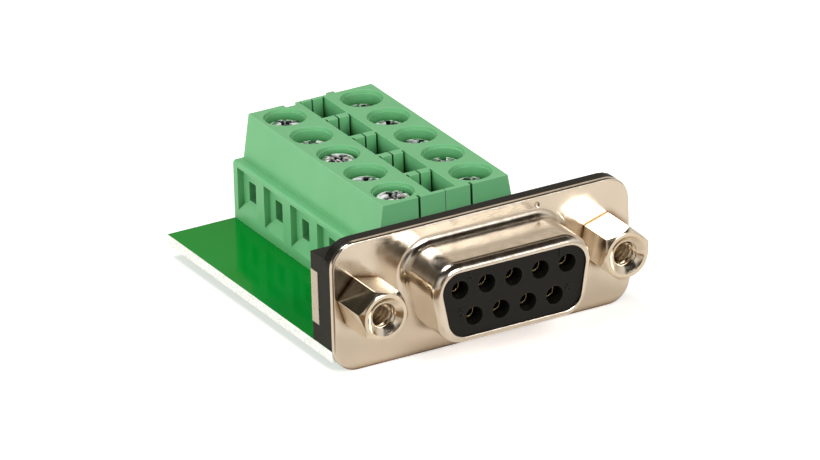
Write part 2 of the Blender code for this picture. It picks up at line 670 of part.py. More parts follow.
def terminal_housing(name, side, parent):
    """One moulded row of poles: screw wells, wire mouths, cage chambers and pits along the joint."""
    housing = solid(name, (prism_along_y, housing_outline(side), BLOCK_FRONT, BLOCK_REAR))
    if side > 0:
        low = (END_SLIT_X - TONGUE_WIDTH, BLOCK_REAR - TONGUE_REACH, BLOCK_BASE + TONGUE_REACH)
        join(housing, (box, low, (END_SLIT_X, REAR_END, BLOCK_TOP - TONGUE_BELOW_TOP)))
    else:
        outer = END_SLIT_X + END_SLIT_WIDTH / 2
        high = (GROOVE_WIDTH - outer, 2 * REAR_END, 2 * BLOCK_TOP)
        cut(housing, (box, (-outer, BLOCK_REAR - GROOVE_DEPTH, 0.0), high))
    slit = sorted((side * (END_SLIT_X - END_SLIT_WIDTH / 2), side * (END_SLIT_X + END_SLIT_WIDTH / 2)))
    high = (slit[1], BLOCK_FRONT + END_SLIT_DEPTH, 2 * BLOCK_TOP)
    cut(housing, (box, (slit[0], 0.0, 0.0), high))
    centres = pole_centres()
    cut(housing, *[chamber(side, y) for y in centres])
    cut(housing, *[wire_entry(side, y) for y in centres])
    cut(housing, *[wire_mouth(side, y) for y in centres])
    cut(housing, *[screw_well(side, y) for y in centres])
    low, high = BAR_BOTTOM - PIN_SLOT_GAP, BAR_TOP + PIN_SLOT_GAP
    cut(housing, *[slot(side, y, PIN_WIDTH, 0.0, BAR_TOP - BAR_THICKNESS / 2) for y in centres])
    cut(housing, *[slot(side, y, BAR_WIDTH, low, high) for y in centres])
    cut(housing, *[pit(side, y) for y in centres])
    ends = sorted((0.0, side * RIB_END_GAP))
    front, rear = BLOCK_FRONT + RIB_REAR, BLOCK_REAR - RIB_FRONT + LAST_SLIT_DEPTH
    cut(housing, (box, (ends[0], front, BLOCK_TOP - PIT_DEPTH), (ends[1], rear, 2 * BLOCK_TOP)))
    return dress(housing, "terminal_green", parent)


def chamber(side, y):
    """The space in which a cage rises."""
    half = CAGE_WIDTH / 2 + SLIDE_GAP
    ends = sorted((side * CHAMBER_END, side * (2 * SCREW_FROM_JOINT - CHAMBER_END)))
    return box, (ends[0], y - half, CAGE_BOTTOM - CLAMP_GAP), (ends[1], y + half, CHAMBER_TOP)


def wire_entry(side, y):
    """The hole through which a wire reaches its cage."""
    ends = sorted((side * (SCREW_FROM_JOINT + CAGE_LENGTH / 2), side * BLOCK_DEPTH))
    half = ENTRY_WIDTH / 2
    return box, (ends[0], y - half, CAGE_WINDOW_LOW), (ends[1], y + half, BAR_BOTTOM + BAR_SHOW)


def wire_mouth(side, y):
    """A shallow recess in the wire face, with a floor that rises to the sill of the entry."""
    half, wide = ENTRY_WIDTH / 2, MOUTH_WIDTH / 2
    low, high = BOARD_TOP + MOUTH_LOW, LEDGE_Z - MOUTH_ROOF
    back, front = BLOCK_DEPTH - MOUTH_DEPTH, BLOCK_DEPTH
    stations = (
        (back, low + MOUTH_RAMP, CAGE_WINDOW_LOW),
        (front, low, low),
        (2 * front, low, low),
    )
    rings = []
    for along, corner, sill in stations:
        outline = ((-wide, corner), (-half, sill), (half, sill), (wide, corner), (wide, high), (-wide, high))
        rings.append([Vector((side * along, y + across, z)) for across, z in outline])
    return loft, rings


def screw_well(side, y):
    """The head's well with a ledge inside its rim, and the shank's hole below."""
    shank = SHANK_RADIUS + SCREW_GAP
    seat = HEAD_SEAT - SEAT_GAP
    profile = [
        (shank, CHAMBER_TOP - WEB),
        (shank, seat),
        (WELL_RADIUS, seat),
        (WELL_RADIUS, BLOCK_TOP - WELL_STEP),
        (WELL_RIM_RADIUS, BLOCK_TOP - WELL_STEP),
        (WELL_RIM_RADIUS, 2 * BLOCK_TOP),
    ]
    return turned, (side * SCREW_FROM_JOINT, y, 0), "Z", profile, FINE


def slot(side, y, width, low, high):
    """A slot beside the chamber that holds a level of the terminal pin."""
    inner = PIN_FROM_JOINT - PIN_SLOT_GAP
    ends = sorted((side * inner, side * (CHAMBER_END + 2 * SLIDE_GAP)))
    half = width / 2 + PIN_SLOT_GAP
    return box, (ends[0], y - half, low), (ends[1], y + half, high)


def pit(side, y):
    """An open pit along the joint between two ribs, with a narrow slit at its outer rear corner."""
    front = y - POLE_PITCH / 2 + RIB_REAR
    rear = y + POLE_PITCH / 2 - RIB_FRONT
    inner = -JOINT_GAP
    outer = PIT_HALF_WIDTH
    last = y + POLE_PITCH > BLOCK_REAR
    slit = rear + (LAST_SLIT_DEPTH if last else RIB_SLIT_DEPTH)
    outline = [
        (inner, front),
        (outer, front),
        (outer, slit),
        (outer - RIB_SLIT, slit),
        (outer - RIB_SLIT, rear),
        (inner, rear),
    ]
    points = [(side * x, y) for x, y in outline]
    return prism_up, points, BLOCK_TOP - PIT_DEPTH, 2 * BLOCK_TOP


def wire_cage_mesh():
    """The rising cage round the screw's axis: a wire window below and a tapped block above."""
    long_half, half = CAGE_LENGTH / 2, CAGE_WIDTH / 2
    height = CAGE_TOP - CAGE_BOTTOM
    cage = solid("wire_cage", (box, (-long_half, -half, 0.0), (long_half, half, height)))
    window = half - CAGE_WALL
    low = (-CAGE_LENGTH, -window, CAGE_FLOOR)
    cut(cage, (box, low, (CAGE_LENGTH, window, CAGE_WINDOW_HIGH - CAGE_BOTTOM)))
    thread = SHANK_RADIUS + SCREW_GAP
    middle = (CAGE_FLOOR + height) / 2
    cut(cage, (turned, (0, 0, 0), "Z", [(thread, middle), (thread, 2 * height)], MEDIUM))
    return cage


def clamp_screw_mesh():
    """A screw with its head's underside at the origin, slotted and crossed on top."""
    tip = SCREW_TIP - HEAD_SEAT
    profile = [
        (SHANK_RADIUS - HEAD_EDGE, tip),
        (SHANK_RADIUS, tip + HEAD_EDGE),
        (SHANK_RADIUS, 0.0),
        (HEAD_RADIUS, 0.0),
        (HEAD_RADIUS, HEAD_THICKNESS - HEAD_EDGE),
        (HEAD_RADIUS - HEAD_EDGE, HEAD_THICKNESS),
    ]
    screw = solid("clamp_screw", (turned, (0, 0, 0), "Z", profile, MEDIUM))
    floor = HEAD_THICKNESS - SLOT_DEPTH
    half = SLOT_WIDTH / 2
    cut(screw, (box, (-2 * HEAD_RADIUS, -half, floor), (2 * HEAD_RADIUS, half, 2 * HEAD_THICKNESS)))
    half, reach = CROSS_WIDTH / 2, HEAD_RADIUS - CROSS_FROM_RIM
    cut(screw, (box, (-half, -reach, floor), (half, reach, 2 * HEAD_THICKNESS)))
    return screw


def terminal_pin_mesh():
    """Bent strip: a flat bar that the wire is clamped against, and a pin down through the board."""
    inner = PIN_FROM_JOINT
    reach, half = BAR_REACH, BAR_WIDTH / 2
    pin = solid("terminal_pin", (box, (inner, -half, BAR_BOTTOM), (reach, half, BAR_TOP)))
    rings = []
    levels = ((0.0, PIN_POINT), (PIN_POINT, 0.0), (BAR_TOP - BAR_THICKNESS / 2, 0.0))
    for z, inset in levels:
        x0, x1 = inner + inset, inner + PIN_THICKNESS - inset
        y0, y1 = -PIN_WIDTH / 2 + inset, PIN_WIDTH / 2 - inset
        rings.append([Vector((x, y, z)) for x, y in ((x0, y0), (x1, y0), (x1, y1), (x0, y1))])
    join(pin, (loft, rings))
    return pin


def copies(pattern, name, finish_name, places, parent):
    """Named objects that share the pattern's mesh, one at each place and turn, and no pattern left over."""
    for number, (place, turn) in enumerate(places, 1):
        thing = bpy.data.objects.new(f"{name}_{number}", pattern.data)
        bpy.context.scene.collection.objects.link(thing)
        thing.location = place
        thing.rotation_euler.z = turn
        dress(thing, finish_name, parent)
    bpy.data.objects.remove(pattern)


def driver_turn(number, side):
    """The screws stand at odd angles, each turned further than the last."""
    step = math.radians(47)
    return step * number * side + math.radians(15)


def terminals(side_name, side, parent):
    """A housing with its screws, cages and pins."""
    terminal_housing(f"terminal_housing_{side_name}", side, parent)
    screw_x = side * SCREW_FROM_JOINT
    centres = pole_centres()
    facing = 0.0 if side > 0 else math.pi
    lifts = SCREW_LIFTS[side_name]
    screws = [
        ((screw_x, y, HEAD_SEAT + lifts[n]), driver_turn(n, side)) for n, y in enumerate(centres)
    ]
    copies(clamp_screw_mesh(), f"clamp_screw_{side_name}", "zinc", screws, parent)
    cages = [((screw_x, y, CAGE_BOTTOM), 0.0) for y in centres]
    copies(wire_cage_mesh(), f"wire_cage_{side_name}", "bright_nickel", cages, parent)
    pins = [((0, y, 0), facing) for y in centres]
    copies(terminal_pin_mesh(), f"terminal_pin_{side_name}", "tinned_brass", pins, parent)


def build():
    clear_scene()
    root = bpy.data.objects.new("adapter", None)
    bpy.context.scene.collection.objects.link(root)
    root.location = (0, -(FRONT_END + REAR_END) / 2, 0)
    circuit_board(root)
    front_shell(root)
    connector_body(root)
    tail_spacer(root)
    for number, (x, z, tail_y) in enumerate(contact_places(), 1):
        socket_contact(f"socket_contact_{number}", x, z, tail_y, root)
    for side_name, side in SIDES.items():
        ground_bracket(f"ground_bracket_{side_name}", side, root)
        jackscrew(f"jackscrew_{side_name}", side_name, root)
        terminals(side_name, side, root)


build()
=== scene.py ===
# %% [markdown]
# # A D-sub connector on a screw terminal board
# A nine-way D-sub socket lies flat on a small green circuit board, and two rows of five screw terminals
# stand back to back behind it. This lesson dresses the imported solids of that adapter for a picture. Some
# pieces keep their solid and get a rounded edge and a finish. Others are drawn again with finer curves and
# real threads. The model is loaded first, because every place in the lesson is measured from it.

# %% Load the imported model
import math

import bmesh
import bpy
from mathutils import Matrix, Vector


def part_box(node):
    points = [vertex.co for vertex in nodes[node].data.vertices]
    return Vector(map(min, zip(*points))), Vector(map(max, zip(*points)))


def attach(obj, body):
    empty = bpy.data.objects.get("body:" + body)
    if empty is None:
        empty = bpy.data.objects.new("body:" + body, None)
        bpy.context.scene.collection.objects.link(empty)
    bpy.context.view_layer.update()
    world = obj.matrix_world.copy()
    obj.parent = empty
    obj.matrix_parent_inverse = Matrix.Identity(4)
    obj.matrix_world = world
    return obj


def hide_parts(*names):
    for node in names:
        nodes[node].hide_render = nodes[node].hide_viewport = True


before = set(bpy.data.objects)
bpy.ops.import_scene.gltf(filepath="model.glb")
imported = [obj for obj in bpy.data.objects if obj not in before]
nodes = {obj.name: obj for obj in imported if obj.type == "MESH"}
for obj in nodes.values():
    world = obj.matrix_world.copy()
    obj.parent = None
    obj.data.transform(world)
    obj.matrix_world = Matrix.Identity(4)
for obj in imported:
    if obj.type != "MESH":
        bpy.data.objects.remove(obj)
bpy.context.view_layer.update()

print("solids in the frame:", len(nodes))

# %% [markdown]
# ## Lengths
# Blender counts in metres and this adapter is 38 mm long, so lengths are written in millimetres and turned
# into metres by one factor. A pattern has a real size too: a noise texture repeats about once in 1 / scale
# metres, so its scale comes from the size of the marks that are wanted.

# %% Millimetres, and the scale of a pattern
MM = 0.001


def marks(size_mm):
    """The texture scale that draws marks of this size."""
    return 1 / (size_mm * MM)


low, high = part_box("connector_front_shell")
SHELL_FRONT, SHELL_BACK = low.y, high.y
SHEET = 0.5 * MM
FLANGE_FRONT = SHELL_BACK - SHEET
FLANGE_HALF, FLANGE_HEIGHT = high.x, high.z
print("the flange is", round(2 * FLANGE_HALF / MM, 2), "by", round(FLANGE_HEIGHT / MM, 2), "mm")

# %% [markdown]
# ## Camera
# The photograph was taken from the left and above with a long lens. The angles, the distance and the small
# roll come from the standard sizes of the connector, seen in the picture. The camera is made first, so that
# each step can be looked at from the right side.

# %% Camera
AZIMUTH, ELEVATION, ROLL = (math.radians(a) for a in (-28.648, 23.723, -1.785))
DISTANCE = 900 * MM
TARGET = Vector((0.863 * MM, FLANGE_FRONT + 15.0 * MM, 4.844 * MM))
PICTURE_WIDTH, FOCAL_PIXELS = 820, 9836.34

sideways = math.cos(ELEVATION)
back = Vector((math.sin(AZIMUTH) * sideways, -math.cos(AZIMUTH) * sideways, math.sin(ELEVATION)))
right = Vector((math.cos(AZIMUTH), math.sin(AZIMUTH), 0))
up = back.cross(right)
across = right * math.cos(ROLL) + up * math.sin(ROLL)
upward = -right * math.sin(ROLL) + up * math.cos(ROLL)
camera_data = bpy.data.cameras.new("camera")
camera_data.sensor_width = 36
camera_data.lens = FOCAL_PIXELS / PICTURE_WIDTH * camera_data.sensor_width
camera_data.clip_start, camera_data.clip_end = 0.05, 20
camera = bpy.data.objects.new("camera", camera_data)
placed = Matrix((across, upward, back)).transposed().to_4x4()
placed.translation = TARGET + back * DISTANCE
camera.matrix_world = placed
bpy.context.scene.collection.objects.link(camera)
bpy.context.scene.camera = camera
print("lens:", round(camera_data.lens), "mm")

# %% [markdown]
# ## Studio
# The adapter stands on a white floor under soft boxes. Metal shows what is round it, so the studio matters
# more to the nickel than its own colour does. It mirrors the pale floor, a bright wall at the right, brown
# shade at the left and overhead, and a dark desk behind the camera. The world holds that room as gradients
# over the height of the view. The camera itself sees plain white.

# %% Colours, links and nodes
def linear(code, alpha=1.0):
    """The linear colour of an sRGB hex value."""
    shares = [int(code[i:i + 2], 16) / 255 for i in (1, 3, 5)]
    return (*[c / 12.92 if c <= 0.04045 else ((c + 0.055) / 1.055) ** 2.4 for c in shares], alpha)


def link(tree, value, socket):
    """Sets a socket to a value or a hex colour, or links it to a node or to one of a node's outputs."""
    if isinstance(value, bpy.types.Node):
        value = next(output for output in value.outputs if output.enabled)
    if isinstance(value, bpy.types.NodeSocket):
        tree.links.new(value, socket)
    else:
        socket.default_value = linear(value) if isinstance(value, str) else value


def add(tree, kind, settings=None, inputs=None):
    """Adds a node: settings are its own fields or a ramp's stops, inputs are what its sockets get."""
    made = tree.nodes.new(kind)
    for field, value in (settings or {}).items():
        if field != "stops":
            setattr(made, field, value)
            continue
        stones = made.color_ramp.elements
        while len(stones) < len(value):
            stones.new(0.5)
        for stone, (place, colour) in zip(stones, value):
            stone.position = place
            stone.color = linear(colour) if isinstance(colour, str) else (colour, colour, colour, 1)
    for socket, value in (inputs or {}).items():
        link(tree, value, made.inputs[socket])
    return made


COLOUR, MULTIPLY = {"data_type": "RGBA"}, {"operation": "MULTIPLY"}
print("mid grey is", round(linear("#808080")[0], 3), "in linear light")

# %% World
world = bpy.data.worlds.new("studio")
bpy.context.scene.world = world
world.use_nodes = True
tree = world.node_tree
tree.nodes.clear()
BEHIND_LEFT = (
    (0.0, "#CFC4B6"),
    (0.50, "#8A7C6C"),
    (0.55, "#4A4036"),
    (0.70, "#3C3A30"),
    (0.80, "#2A231C"),
    (1.0, "#2A231C"),
)
BEHIND_RIGHT = (
    (0.0, "#D8CFC4"),
    (0.50, "#CFC4B6"),
    (0.62, "#E8DCCA"),
    (0.71, "#F0E2D0"),
    (0.75, "#8A7A64"),
    (0.78, "#2E251C"),
    (0.86, "#2E251C"),
    (0.88, "#D8C8AE"),
    (0.90, "#2E251C"),
    (1.0, "#2A231C"),
)
IN_FRONT = (
    (0.0, "#EDE6DC"),
    (0.50, "#DDD5CA"),
    (0.60, "#C9BFB2"),
    (0.68, "#EFE9E0"),
    (0.82, "#F8F5F0"),
    (0.87, "#3A332B"),
    (1.0, "#2A231C"),
)
GROUND_TO_SKY = {"From Min": -1.0, "From Max": 1.0}
LEFT_TO_RIGHT = {"From Min": -0.15, "From Max": 0.15}
FRONT_TO_BACK = {"From Min": -0.3, "From Max": 0.3}
DESK_EDGE = {"From Min": 0.9, "From Max": 0.97}
direction = add(tree, "ShaderNodeTexCoord").outputs["Generated"]
parts = add(tree, "ShaderNodeSeparateXYZ", inputs={0: direction}).outputs
height = add(tree, "ShaderNodeMapRange", inputs={"Value": parts["Z"], **GROUND_TO_SKY})
walls = (BEHIND_LEFT, BEHIND_RIGHT, IN_FRONT)
walls = [add(tree, "ShaderNodeValToRGB", {"stops": stops}, {"Fac": height}) for stops in walls]
rightness = add(tree, "ShaderNodeMapRange", inputs={"Value": parts["X"], **LEFT_TO_RIGHT})
behind = add(tree, "ShaderNodeMix", COLOUR, {0: rightness, 6: walls[0], 7: walls[1]})
depth = add(tree, "ShaderNodeMapRange", inputs={"Value": parts["Y"], **FRONT_TO_BACK})
both_ends = add(tree, "ShaderNodeMix", COLOUR, {0: depth, 6: walls[2], 7: behind})
towards = add(tree, "ShaderNodeVectorMath", {"operation": "DOT_PRODUCT"}, {0: direction, 1: back})
desk = add(tree, "ShaderNodeMapRange", inputs={"Value": towards, **DESK_EDGE})
shade = add(tree, "ShaderNodeMix", COLOUR, {0: desk, 6: both_ends, 7: "#4A443A"})
room = add(tree, "ShaderNodeBackground", inputs={"Color": shade, "Strength": 0.9})
white = add(tree, "ShaderNodeBackground", inputs={"Color": (1, 1, 1, 1), "Strength": 1.0})
path = add(tree, "ShaderNodeLightPath").outputs
seen = add(tree, "ShaderNodeMixShader", inputs={0: path["Is Camera Ray"], 1: room, 2: white})
add(tree, "ShaderNodeOutputWorld", inputs={"Surface": seen})
bpy.context.scene.view_settings.view_transform = "Standard"
print("world nodes:", len(tree.nodes))

# %% Soft boxes
def soft_box(name, place, size, share, mirrored=True):
    """A square lamp aimed at the adapter. share is how bright it alone makes a white card facing it."""
    lamp_data = bpy.data.lights.new(name, "AREA")
    lamp_data.size = size
    lamp = bpy.data.objects.new(name, lamp_data)
    lamp.location = Vector(place)
    away = lamp.location - TARGET
    lamp_data.energy = share * (math.pi * away.length) ** 2
    lamp.rotation_euler = away.to_track_quat("Z", "Y").to_euler()
    lamp.visible_glossy = mirrored
    bpy.context.scene.collection.objects.link(lamp)
    print(name, "gives", round(lamp_data.energy, 2), "W")


soft_box("front_box", (0.15, -0.80, 0.58), 0.45, 0.5)
soft_box("left_box", (-0.85, -0.3, 0.35), 0.5, 0.7, mirrored=False)
soft_box("top_box", (-0.15, 0.45, 0.88), 0.4, 0.43)

# %% [markdown]
# ## Floor
# The floor is matt white paper. A faint glow that only the camera sees keeps it white round the soft
# shadow. In the metal the same paper is warmer, and it goes dark brown past a line at the front left, so
# that the edges there have something dark to mirror.

# %% Floor
floor_mesh = bpy.data.meshes.new("floor")
REACH = 6.0
corners = [(-REACH, -REACH, 0), (REACH, -REACH, 0), (REACH, REACH, 0), (-REACH, REACH, 0)]
floor_mesh.from_pydata(corners, [], [(0, 1, 2, 3)])
floor = bpy.data.objects.new("floor", floor_mesh)
bpy.context.scene.collection.objects.link(floor)

# %% White paper
PAPER, WARM_PAPER, BROWN_SHADE = (0.86, 0.85, 0.84, 1), (0.86, 0.79, 0.7, 1), (0.2, 0.13, 0.07, 1)
SHADE_X = {"From Min": -15 * MM, "From Max": -22 * MM}
SHADE_Y = {"From Min": -10 * MM, "From Max": -16 * MM}
paper = bpy.data.materials.new("white_paper")
paper.use_nodes = True
tree = paper.node_tree
tree.nodes.clear()
path = add(tree, "ShaderNodeLightPath").outputs
spot = add(tree, "ShaderNodeTexCoord").outputs["Object"]
where = add(tree, "ShaderNodeSeparateXYZ", inputs={0: spot}).outputs
left = add(tree, "ShaderNodeMapRange", inputs={"Value": where["X"], **SHADE_X})
front = add(tree, "ShaderNodeMapRange", inputs={"Value": where["Y"], **SHADE_Y})
front_left = add(tree, "ShaderNodeMath", MULTIPLY, {0: left, 1: front})
mirrored = add(tree, "ShaderNodeMix", COLOUR, {0: front_left, 6: WARM_PAPER, 7: BROWN_SHADE})
sheet = add(tree, "ShaderNodeMix", COLOUR, {0: path["Is Glossy Ray"], 6: PAPER, 7: mirrored})
lit = add(tree, "ShaderNodeBsdfDiffuse", inputs={"Color": sheet})
glow = add(tree, "ShaderNodeEmission", inputs={"Color": (1, 1, 1, 1), "Strength": 0.45})
none = add(tree, "ShaderNodeEmission", inputs={"Strength": 0.0})
camera_only = add(tree, "ShaderNodeMixShader", inputs={0: path["Is Camera Ray"], 1: none, 2: glow})
both = add(tree, "ShaderNodeAddShader", inputs={0: lit, 1: camera_only})
add(tree, "ShaderNodeOutputMaterial", inputs={"Surface": both})
floor_mesh.materials.append(paper)
print("nodes in the paper:", len(tree.nodes))

# %% [markdown]
# ## Finishes
# Each finish starts from what the real piece is made of. One function starts a Principled shader and leaves
# the place of a point on the piece ready for the patterns. A second one covers the shader with a colour, an
# uneven gloss and a relief, and a third finds the edges, where some finishes get a painted highlight.

# %% Start a finish
MIDDLE = {"From Min": 0.3, "From Max": 0.7}


def finish(name, roughness, metallic=0.0, **sockets):
    """A material with a Principled shader, its even values set on the shader's own sockets."""
    made = bpy.data.materials.new(name)
    made.use_nodes = True
    tree = made.node_tree
    tree.nodes.clear()
    shader = add(tree, "ShaderNodeBsdfPrincipled", inputs={"Roughness": roughness, "Metallic": metallic})
    for socket, value in sockets.items():
        shader.inputs[socket.replace("_", " ")].default_value = value
    add(tree, "ShaderNodeOutputMaterial", inputs={"Surface": shader})
    where = add(tree, "ShaderNodeTexCoord").outputs["Object"]
    return made, tree, shader, where


def cover(tree, shader, colour, gloss, relief, depth_um):
    """Gives the shader a colour, a roughness and a relief, its depth in thousandths of a millimetre."""
    raised = add(tree, "ShaderNodeBump", inputs={"Height": relief, "Distance": depth_um * MM / 1000})
    for socket, value in (("Base Color", colour), ("Roughness", gloss), ("Normal", raised)):
        link(tree, value, shader.inputs[socket])


def edges(tree, radius_mm):
    """1 on a sharp edge, 0 on a flat face: how far a rounded normal leans from the true one."""
    rounded = add(tree, "ShaderNodeBevel", {"samples": 4}, {"Radius": radius_mm * MM})
    true = add(tree, "ShaderNodeNewGeometry").outputs["Normal"]
    along = add(tree, "ShaderNodeVectorMath", {"operation": "DOT_PRODUCT"}, {0: rounded, 1: true})
    return add(tree, "ShaderNodeMapRange", inputs={"Value": along, "From Min": 1.0, "From Max": 0.8})


# %% [markdown]
# ### Green polyamide
# The terminal blocks are moulded polyamide, dyed green. The mould leaves a spark-eroded grain and a soft
# sheen, and the colour drifts a little where the plastic flowed. The edges are painted paler, a painted
# highlight. Light that reaches a pit has bounced off green walls first, so the pits are painted a deeper
# green: painted shade. The real grain is about 0.03 mm, too fine to show, and is drawn at 0.12 mm.

# %% Green polyamide
polyamide, tree, shader, where = finish("moulded_polyamide", 0.42, IOR=1.53)
drift = add(tree, "ShaderNodeTexNoise", inputs={"Vector": where, "Scale": marks(3.0), "Detail": 2.0})
green = add(tree, "ShaderNodeMix", COLOUR, {0: drift, 6: "#68B278", 7: "#74BA85"})
fine = add(tree, "ShaderNodeTexNoise", inputs={"Vector": where, "Scale": marks(0.12), "Detail": 2.0})
# The pits are painted a deeper, darker green: painted shade.
pit_shade = add(tree, "ShaderNodeAmbientOcclusion", {"samples": 6}, {"Distance": 2.5 * MM}).outputs["AO"]
pit_shade = add(tree, "ShaderNodeValToRGB", {"stops": ((0.2, 0.0), (0.7, 1.0))}, {"Fac": pit_shade})
green = add(tree, "ShaderNodeMix", COLOUR, {0: pit_shade, 6: "#2C7A36", 7: green})
# The edges are painted a paler green: a painted highlight.
painted_edge_highlight = add(tree, "ShaderNodeMath", MULTIPLY, {0: edges(tree, 0.12), 1: 0.55})
painted_light = add(tree, "ShaderNodeMix", COLOUR, {0: painted_edge_highlight, 6: green, 7: "#A6D8B2"})
gloss = add(tree, "ShaderNodeMapRange", inputs={"Value": fine, **MIDDLE, "To Min": 0.36, "To Max": 0.48})
cover(tree, shader, painted_light, gloss, fine, 4)
print("finish:", polyamide.name)

# %% [markdown]
# ### Solder mask
# The board is glass cloth in epoxy, covered by a glossy green varnish that hides the copper. Its mirror is
# kept faint, so that a white room doesn't wash out the green. The weave of the cloth, two threads to a
# millimetre, shows a little through the varnish. Only the sawn sides are bare: pale, dull, and full of
# broken fibres.

# %% Solder mask
solder_mask, tree, shader, where = finish("varnished_glass_epoxy", 0.2, IOR=1.5, Specular_IOR_Level=0.08)
CLOTH = 0.5
threads = {"Vector": where, "Scale": marks(CLOTH) / 20}
warp = add(tree, "ShaderNodeTexWave", {"bands_direction": "X"}, threads).outputs["Fac"]
weft = add(tree, "ShaderNodeTexWave", {"bands_direction": "Y"}, threads).outputs["Fac"]
weave = add(tree, "ShaderNodeMath", MULTIPLY, {0: warp, 1: weft})
cloud = add(tree, "ShaderNodeTexNoise", inputs={"Vector": where, "Scale": marks(6.0), "Detail": 3.0})
varnish = add(tree, "ShaderNodeMix", COLOUR, {0: cloud, 6: "#008218", 7: "#008A34"})
print("finish:", solder_mask.name)

# %% Bare laminate at the sides
FIBRES = ((0.3, "#C4CABF"), (0.5, "#F0F2EB"), (0.7, "#FDFEFA"))
upright = add(tree, "ShaderNodeMapping", inputs={"Vector": where, "Scale": (1, 1, 2)})
fibres = add(tree, "ShaderNodeTexNoise", inputs={"Vector": upright, "Scale": marks(0.18), "Detail": 4.0})
bare = add(tree, "ShaderNodeValToRGB", {"stops": FIBRES}, {"Fac": fibres})
normal = add(tree, "ShaderNodeNewGeometry").outputs["Normal"]
parts = add(tree, "ShaderNodeSeparateXYZ", inputs={0: normal}).outputs
level = add(tree, "ShaderNodeMath", {"operation": "ABSOLUTE"}, {0: parts["Z"]})
side = add(tree, "ShaderNodeMath", {"operation": "LESS_THAN"}, {0: level, 1: 0.5})
surface = add(tree, "ShaderNodeMix", COLOUR, {0: side, 6: varnish, 7: bare})
gloss = add(tree, "ShaderNodeMapRange", inputs={"Value": side, "To Min": 0.12, "To Max": 0.75})
cover(tree, shader, surface, gloss, weave, 3)
print("nodes in the board:", len(tree.nodes))

# %% [markdown]
# ### Nickel
# The shell is drawn from thin steel and nickel plated, which gives a warm, almost champagne mirror that is
# a little soft, with faint cloudy marks from handling. The jackscrews are turned from brass bar and plated
# brighter. Their round faces keep the rings of the lathe tool, drawn 0.15 mm apart, which is coarser than
# the real ones. Where another surface stands close by, the plate is painted brown: painted shade.

# %% Plated shell
def nickel_with_painted_shade(tree, plain_nickel, reach_mm):
    """Nickel painted brown where another surface stands close by: painted shade."""
    near = add(tree, "ShaderNodeAmbientOcclusion", {"samples": 6}, {"Distance": reach_mm * MM})
    painted_light = {"stops": ((0.5, 0.0), (0.9, 1.0))}
    painted_light = add(tree, "ShaderNodeValToRGB", painted_light, {"Fac": near.outputs["AO"]})
    return add(tree, "ShaderNodeMix", COLOUR, {0: painted_light, 6: "#7E6038", 7: plain_nickel})


shell_nickel, tree, shader, where = finish("nickel_plated_steel", 0.18, 1.0)
cloud = add(tree, "ShaderNodeTexNoise", inputs={"Vector": where, "Scale": marks(2.5), "Detail": 4.0})
plain_nickel = add(tree, "ShaderNodeMix", COLOUR, {0: cloud, 6: "#E2D8CA", 7: "#EEE6DA"})
smears = add(tree, "ShaderNodeTexNoise", inputs={"Vector": where, "Scale": marks(0.8), "Detail": 5.0})
gloss = add(tree, "ShaderNodeMapRange", inputs={"Value": smears, **MIDDLE, "To Min": 0.14, "To Max": 0.24})
peel = add(tree, "ShaderNodeTexNoise", inputs={"Vector": where, "Scale": marks(0.5), "Detail": 3.0})
cover(tree, shader, nickel_with_painted_shade(tree, plain_nickel, 0.8), gloss, peel, 1.2)
print("finish:", shell_nickel.name)

# %% Bright hardware
bright_nickel, tree, shader, where = finish("nickel_plated_brass", 0.12, 1.0)
cloud = add(tree, "ShaderNodeTexNoise", inputs={"Vector": where, "Scale": marks(0.9), "Detail": 4.0})
plain_nickel = add(tree, "ShaderNodeMix", COLOUR, {0: cloud, 6: "#D8CBB6", 7: "#F0E6D6"})
along = add(tree, "ShaderNodeMapping", inputs={"Vector": where, "Scale": (0.05, 1, 0.05)})
rings = add(tree, "ShaderNodeTexNoise", inputs={"Vector": along, "Scale": marks(0.15), "Detail": 2.0})
gloss = add(tree, "ShaderNodeMapRange", inputs={"Value": rings, **MIDDLE, "To Min": 0.1, "To Max": 0.2})
cover(tree, shader, nickel_with_painted_shade(tree, plain_nickel, 0.45), gloss, rings, 1.5)
print("finish:", bright_nickel.name)

# %% [markdown]
# ### Zinc
# The clamp screws are steel with clear zinc plating: blue-white, a little grainy, frosted in some patches
# and shiny in others. Their slots and crosses are painted dark: painted shade.

# %% Zinc plate
zinc, tree, shader, where = finish("zinc_plated_steel", 0.25, 1.0)
grain = add(tree, "ShaderNodeTexNoise", inputs={"Vector": where, "Scale": marks(0.25), "Detail": 4.0})
patches = add(tree, "ShaderNodeTexNoise", inputs={"Vector": where, "Scale": marks(0.6), "Detail": 1.0})
patches = add(tree, "ShaderNodeValToRGB", {"stops": ((0.42, 0.0), (0.58, 1.0))}, {"Fac": patches})
frosted = add(tree, "ShaderNodeMix", COLOUR, {0: grain, 6: "#F4F6F8", 7: "#FFFFFF"})
plated = add(tree, "ShaderNodeMix", COLOUR, {0: patches, 6: frosted, 7: "#B2B4B6"})
# The slots and crosses are painted near black: painted shade.
painted_slot_shade = add(tree, "ShaderNodeAmbientOcclusion", {"samples": 6, "only_local": True}, {"Distance": 0.5 * MM})
painted_slot_shade = add(tree, "ShaderNodeValToRGB", {"stops": ((0.6, 0.0), (0.9, 1.0))}, {"Fac": painted_slot_shade.outputs["AO"]})
zinc_with_painted_slot_shade = add(tree, "ShaderNodeMix", COLOUR, {0: painted_slot_shade, 6: "#17181A", 7: plated})
gloss = add(tree, "ShaderNodeMapRange", inputs={"Value": patches, "To Min": 0.55, "To Max": 0.1})
metal = add(tree, "ShaderNodeMapRange", inputs={"Value": patches, "To Min": 0.2, "To Max": 1.0})
link(tree, metal, shader.inputs["Metallic"])
cover(tree, shader, zinc_with_painted_slot_shade, gloss, grain, 12)
print("finish:", zinc.name)

# %% [markdown]
# ### Black polyester
# The connector body is glass-filled polyester, moulded black: dark grey in a strong light, with a speckle
# of glass at the surface. The glass threads are about 0.01 mm thick, and the speckle is drawn at 0.1 mm to
# show.

